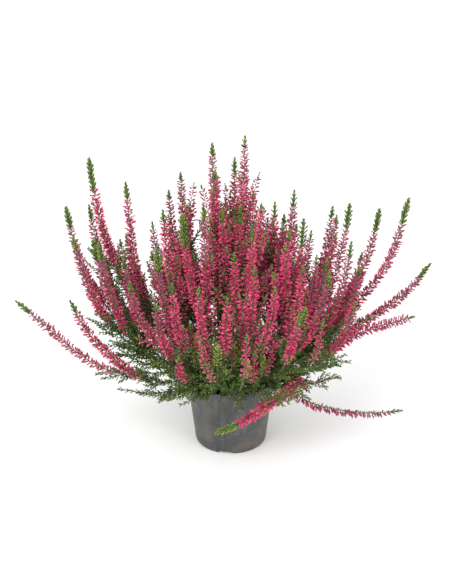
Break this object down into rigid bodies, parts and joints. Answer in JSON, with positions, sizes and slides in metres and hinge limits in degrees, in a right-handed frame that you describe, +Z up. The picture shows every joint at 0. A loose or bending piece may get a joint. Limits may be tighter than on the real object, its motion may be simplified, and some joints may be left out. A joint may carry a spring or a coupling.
{
  "type": "potted heather",
  "caption": "Bushy heather with tall pink flower spikes and green tips, leafy woody stems and a few sprawling side shoots, in a round tapered nursery pot filled with peat.",
  "frame": {"origin": "on the pot's axis, in the plane of its foot", "axes": "+Z up along the pot's axis, -Y towards the front of the picture, +X to its right, along the plant's widest spread"},
  "size_m": [0.4715, 0.2988, 0.368],
  "materials": {
    "pot_plastic": "dark grey, slightly scuffed, soft sheen",
    "peat": "dark crumbly peat",
    "leafy_wood": "brown bark under dark green needles",
    "flower_buds": "matte pink buds, green at the tips"
  },
  "bodies": {
    "root": {"pot": "pot_plastic", "soil": "peat", "spike_01": "flower_buds", "spike_02": "flower_buds", "spike_03": "flower_buds", "spike_04": "flower_buds", "spike_05": "flower_buds", "spike_06": "flower_buds", "spike_07": "flower_buds", "spike_08": "flower_buds", "spike_09": "flower_buds", "spike_10": "flower_buds", "spike_11": "flower_buds", "spike_12": "flower_buds", "spike_13": "flower_buds", "spike_14": "flower_buds", "spike_15": "flower_buds", "spike_16": "flower_buds", "spike_17": "flower_buds", "spike_18": "flower_buds", "spike_19": "flower_buds", "spike_20": "flower_buds", "spike_21": "flower_buds", "spike_22": "flower_buds", "spike_23": "flower_buds", "spike_24": "flower_buds", "spike_25": "flower_buds", "spike_26": "flower_buds", "spike_27": "flower_buds", "spike_28": "flower_buds", "spike_29": "flower_buds", "spike_30": "flower_buds", "spike_31": "flower_buds", "spike_32": "flower_buds", "spike_33": "flower_buds", "spike_34": "flower_buds", "spike_35": "flower_buds", "spike_36": "flower_buds", "spike_37": "flower_buds", "spike_38": "flower_buds", "spike_39": "flower_buds", "spike_40": "flower_buds", "spike_41": "flower_buds", "spike_42": "flower_buds", "spike_43": "flower_buds", "spike_44": "flower_buds", "spike_45": "flower_buds", "spike_46": "flower_buds", "spike_47": "flower_buds", "spike_48": "flower_buds", "spike_49": "flower_buds", "spike_50": "flower_buds", "spike_51": "flower_buds", "woody_stem_0": "leafy_wood", "woody_stem_1": "leafy_wood", "woody_stem_2": "leafy_wood", "woody_stem_3": "leafy_wood", "woody_stem_4": "leafy_wood", "woody_stem_5": "leafy_wood", "woody_stem_6": "leafy_wood"}
  },
  "joints": []
}
